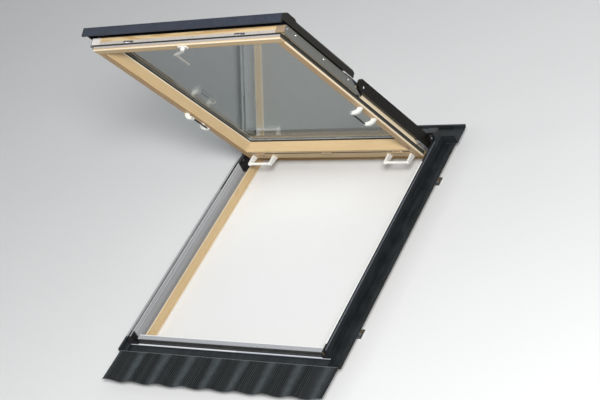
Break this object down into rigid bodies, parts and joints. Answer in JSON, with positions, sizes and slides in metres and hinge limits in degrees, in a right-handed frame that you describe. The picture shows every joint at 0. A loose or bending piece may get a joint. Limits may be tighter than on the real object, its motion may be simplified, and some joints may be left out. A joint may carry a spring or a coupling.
{
  "type": "roof window",
  "caption": "Top-hung pivoting roof window with timber frame and sash, double glazing, metal cladding, ventilation flap and flashing.",
  "frame": {"origin": "centre of the four fixing holes, on the plane of the frame's underside", "axes": "+X along the eaves, +Y up the roof slope towards the hinged head, +Z out of the roof"},
  "size_m": [1.28, 1.739, 1.3758],
  "materials": {
    "pine": "clear lacquered softwood",
    "light_lining": "satin light grey paint",
    "black_rubber": "matt",
    "grey_seal": "matt",
    "blue_grey_cladding": "satin baked paint",
    "dark_cladding": "satin baked paint",
    "black_casting": "matt",
    "arm_paint": "glossy baked paint",
    "bright_zinc": "bright zinc plate",
    "flashing_paint": "satin, lightly weathered",
    "clear_glass": "clear float glass",
    "spacer_metal": "mill finish",
    "grey_plate": "satin grey paint",
    "cream_strip": "satin",
    "black_plastic": "satin",
    "white_plastic": "glossy"
  },
  "bodies": {
    "frame": {"frame_side_right": "pine", "frame_side_left": "pine", "frame_head": "pine", "frame_sill": "pine", "side_liner_right": "light_lining", "side_liner_left": "light_lining", "channel_linings": "light_lining", "channel_gaskets": "black_rubber", "side_cover_right": "dark_cladding", "side_cover_left": "dark_cladding", "sill_liner": "light_lining", "sill_gasket": "black_rubber", "sill_cover": "blue_grey_cladding", "corner_blocks": "black_casting", "hinge_housing_right": "black_casting", "hinge_housing_left": "black_casting", "hinge_pins": "bright_zinc", "head_hood": "dark_cladding", "corner_caps": "dark_cladding", "side_gutter_right": "flashing_paint", "side_gutter_left": "flashing_paint", "head_flashing": "flashing_paint", "apron_strip": "flashing_paint", "pleated_apron": "flashing_paint", "fixing_brackets": "bright_zinc", "lock_keeps": "bright_zinc"},
    "arms": {"arm_right": "arm_paint", "arm_left": "arm_paint", "arm_hinge_plates": "bright_zinc"},
    "sash": {"pivot_pins": "bright_zinc", "sash_stile_right": "pine", "sash_stile_left": "pine", "sash_top_rail": "pine", "sash_bottom_rail": "pine", "sash_seal": "grey_seal", "sash_gasket": "black_rubber", "inner_pane": "clear_glass", "outer_pane": "clear_glass", "pane_spacer": "spacer_metal", "glazing_gaskets": "black_rubber", "sash_side_cover_right": "dark_cladding", "sash_side_cover_left": "dark_cladding", "sash_bottom_cover": "blue_grey_cladding", "cover_end_caps": "dark_cladding", "sash_upper_covers": "blue_grey_cladding", "side_plate_right": "grey_plate", "side_plate_left": "grey_plate", "lock_strip": "cream_strip", "corner_keeps": "white_plastic", "grab_handle_right": "white_plastic", "grab_handle_left": "white_plastic", "grab_handle_bars": "black_plastic", "handle_base": "white_plastic", "flap_hinge_leaves": "white_plastic"},
    "flap": {"ventilation_flap": "pine", "flap_handle_right": "white_plastic", "flap_handle_left": "white_plastic", "flap_leaves": "white_plastic"},
    "lever": {"handle_lever": "white_plastic"},
    "lock_rod": {"lock_rod": "bright_zinc"}
  },
  "joints": [
    {"name": "arm_hinge", "type": "hinge", "parent": "frame", "child": "arms", "pos_m": [0, 0.645, 0.143], "axis": [1, 0, 0], "range_deg": [0, 65.46]},
    {"name": "sash_pivot", "type": "hinge", "parent": "arms", "child": "sash", "pos_m": [0, 0.35313, 0.72208], "axis": [-1, 0, 0], "range_deg": [0, 140]},
    {"name": "flap_hinge", "type": "hinge", "parent": "sash", "child": "flap", "pos_m": [0, 0.53317, 0.1568], "axis": [-1, 0, 0], "range_deg": [0, 30]},
    {"name": "handle_turn", "type": "hinge", "parent": "sash", "child": "lever", "pos_m": [-0.012, -0.00735, 1.24676], "axis": [0, -0.9097, -0.4153], "range_deg": [0, 90]},
    {"name": "lock_slide", "type": "slide", "parent": "sash", "child": "lock_rod", "axis": [1, 0, 0], "range_m": [0, 0.0201]}
  ],
  "couplings": [
    {"joint": "lock_slide", "follows": "handle_turn", "m_per_rad": 0.01273}
  ]
}
